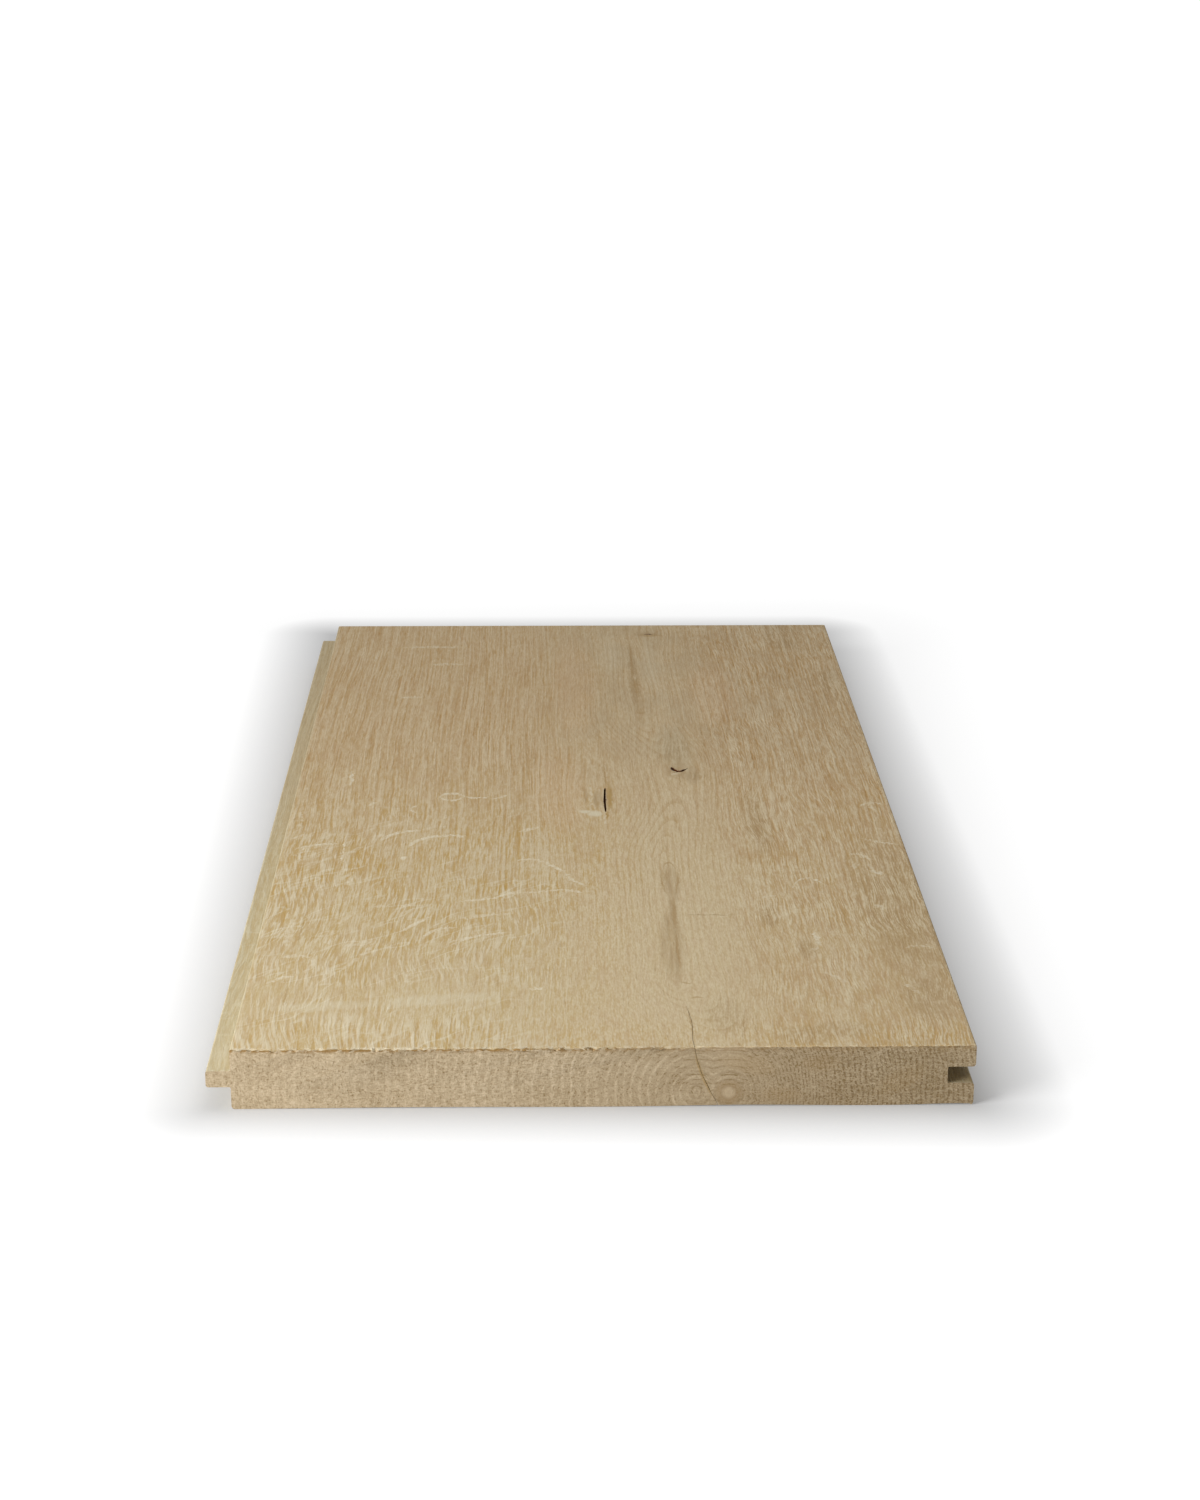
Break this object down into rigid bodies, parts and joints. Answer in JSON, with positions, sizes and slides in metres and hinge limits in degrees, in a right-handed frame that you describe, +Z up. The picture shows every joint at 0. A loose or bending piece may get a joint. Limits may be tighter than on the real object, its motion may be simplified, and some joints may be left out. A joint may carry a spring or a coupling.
{
  "type": "wide plank floorboard",
  "caption": "Wide solid oak floorboard with a tongue along one long edge and a groove along the other; boards lock edge to edge to make a floor.",
  "frame": {"origin": "on the underside, midway across the face (tongue left out) and midway along the length", "axes": "+X across the board from the tongue to the groove, +Y along the grain away from the split end, +Z up out of the face"},
  "size_m": [0.248, 0.5, 0.021],
  "materials": {
    "oak": "planed and unfinished, sawn ends"
  },
  "bodies": {
    "root": {"floorboard": "oak"}
  },
  "joints": []
}
